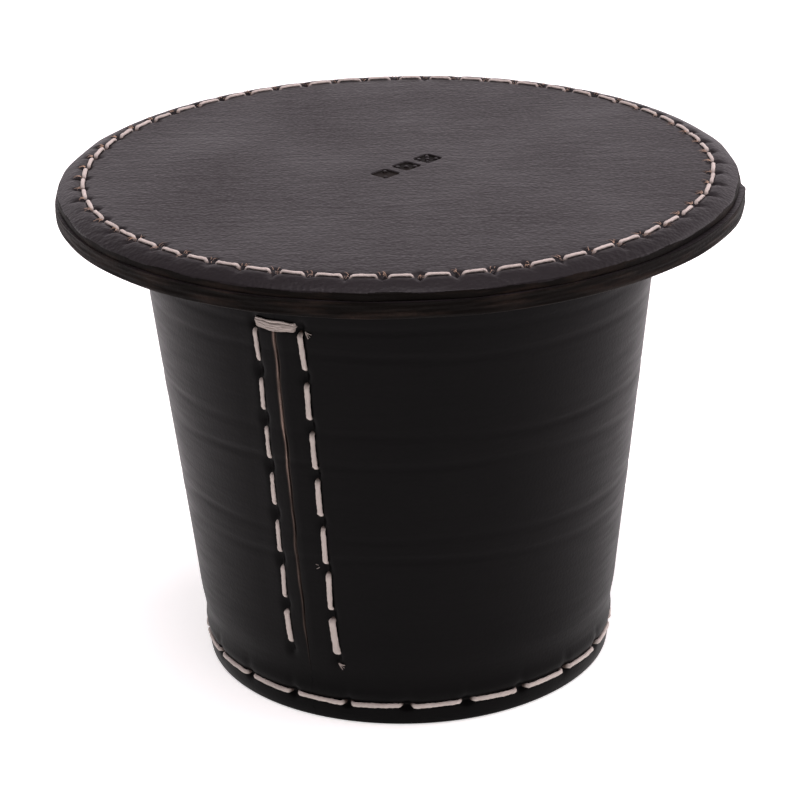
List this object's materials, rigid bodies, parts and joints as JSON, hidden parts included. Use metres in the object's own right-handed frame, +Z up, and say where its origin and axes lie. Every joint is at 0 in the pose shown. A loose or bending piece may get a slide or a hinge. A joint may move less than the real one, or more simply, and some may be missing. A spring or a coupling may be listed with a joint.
{
  "type": "dice cup with lid",
  "caption": "Tapered leather shaking cup with a hand-sewn side seam, ribbed inside, sewn-in base and a flat round lift-off lid that overhangs its mouth.",
  "frame": {"origin": "centre of the foot, in the plane the cup stands on", "axes": "+Z up along the cup's axis towards the lid; -Y towards the front, with the seam left of the front at 117.6 degrees clockwise from +X seen from above"},
  "size_m": [0.118, 0.118, 0.0897],
  "materials": {
    "wall_leather": "smooth black, waxed, satin",
    "lid_leather": "black fine grain, satin, burnished dark edge",
    "split_leather": "dark brown flesh side, matt",
    "waxed_thread": "off-white waxed linen, twisted"
  },
  "bodies": {
    "cup": {"cup_wall": "wall_leather", "cup_base": "wall_leather", "seam_backing_strip": "split_leather", "inner_rib_1": "split_leather", "inner_rib_2": "split_leather", "inner_rib_3": "split_leather", "inner_rib_4": "split_leather", "foot_thread_outer": "waxed_thread", "foot_thread_inner": "waxed_thread", "seam_thread_left_outer": "waxed_thread", "seam_thread_left_inner": "waxed_thread", "seam_thread_right_outer": "waxed_thread", "seam_thread_right_inner": "waxed_thread", "seam_bar_tack": "waxed_thread"},
    "lid": {"lid_top_disc": "lid_leather", "lid_bottom_disc": "lid_leather", "lid_locating_disc": "split_leather", "lid_thread_upper": "waxed_thread", "lid_thread_lower": "waxed_thread"}
  },
  "joints": [
    {"name": "lid_lift", "type": "slide", "parent": "cup", "child": "lid", "axis": [0, 0, 1], "range_m": [0, 0.1]}
  ]
}
